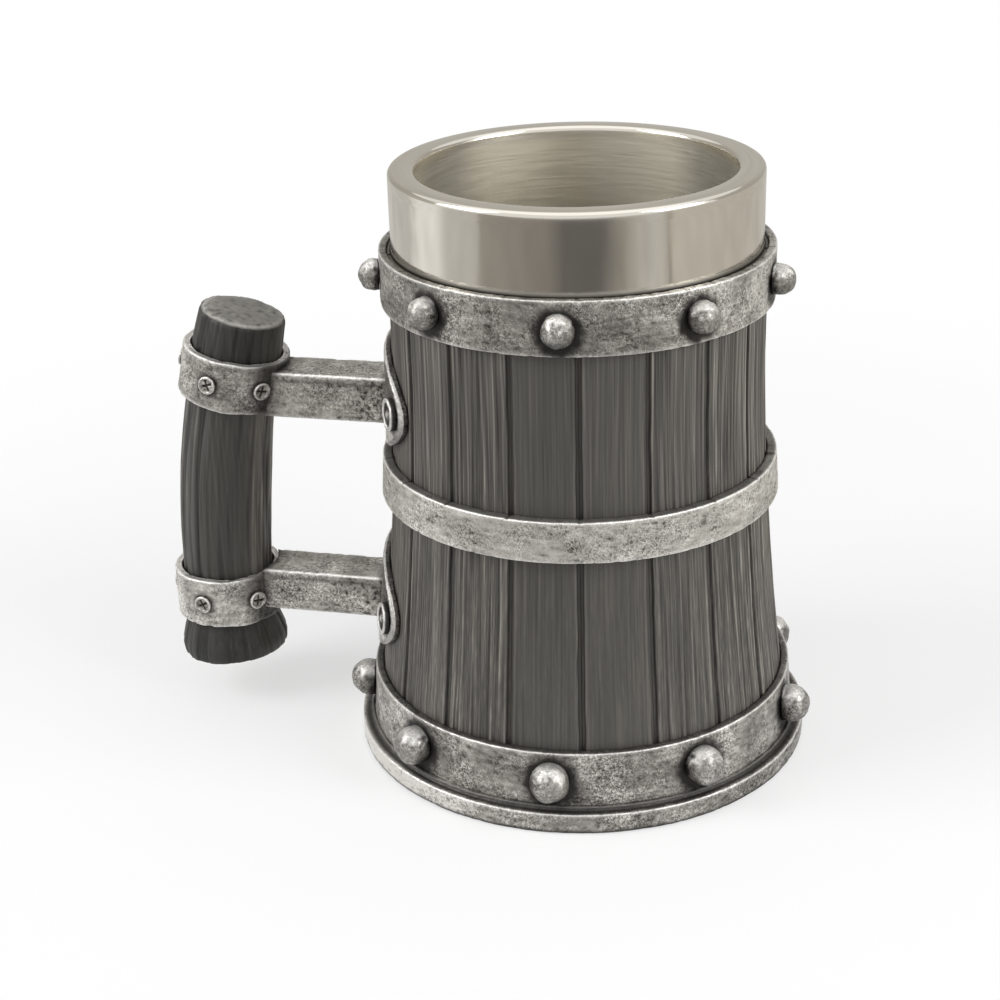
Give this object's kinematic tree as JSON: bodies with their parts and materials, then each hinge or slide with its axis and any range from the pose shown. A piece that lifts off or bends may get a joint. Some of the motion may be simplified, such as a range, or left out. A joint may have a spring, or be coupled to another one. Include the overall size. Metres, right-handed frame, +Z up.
{
  "type": "barrel tankard",
  "caption": "Coopered wooden barrel tankard with metal hoops, dome studs, a steel liner and rim, and a log grip held by strap clamps.",
  "frame": {"origin": "centre of the foot, on the table, on the barrel's axis", "axes": "+Z up along the barrel's axis, the handle along -X"},
  "size_m": [0.1736, 0.12, 0.15],
  "materials": {
    "polished_steel": "polished collar and lip, satin inside",
    "aged_metal": "aged, dark in the hollows, rubbed bright on the edges",
    "stud_metal": "aged, rubbed bright on the domes",
    "stave_wood": "dark grey stain, satin, grain along the staves",
    "log_wood": "dark grey stain, coarse grain"
  },
  "bodies": {
    "root": {"steel_liner": "polished_steel", "top_hoop": "aged_metal", "middle_hoop": "aged_metal", "base_hoop": "aged_metal", "top_hoop_studs": "stud_metal", "base_hoop_studs": "stud_metal", "stave_01": "stave_wood", "stave_02": "stave_wood", "stave_03": "stave_wood", "stave_04": "stave_wood", "stave_05": "stave_wood", "stave_06": "stave_wood", "stave_07": "stave_wood", "stave_08": "stave_wood", "stave_09": "stave_wood", "stave_10": "stave_wood", "stave_11": "stave_wood", "stave_12": "stave_wood", "stave_13": "stave_wood", "stave_14": "stave_wood", "stave_15": "stave_wood", "stave_16": "stave_wood", "stave_17": "stave_wood", "stave_18": "stave_wood", "bottom_board": "stave_wood", "base_plate": "aged_metal", "upper_plate": "aged_metal", "lower_plate": "aged_metal", "upper_plate_rivets": "stud_metal", "lower_plate_rivets": "stud_metal", "upper_arm": "aged_metal", "lower_arm": "aged_metal", "upper_clamp": "aged_metal", "lower_clamp": "aged_metal", "upper_clamp_screws": "stud_metal", "lower_clamp_screws": "stud_metal", "grip_log": "log_wood"}
  },
  "joints": []
}
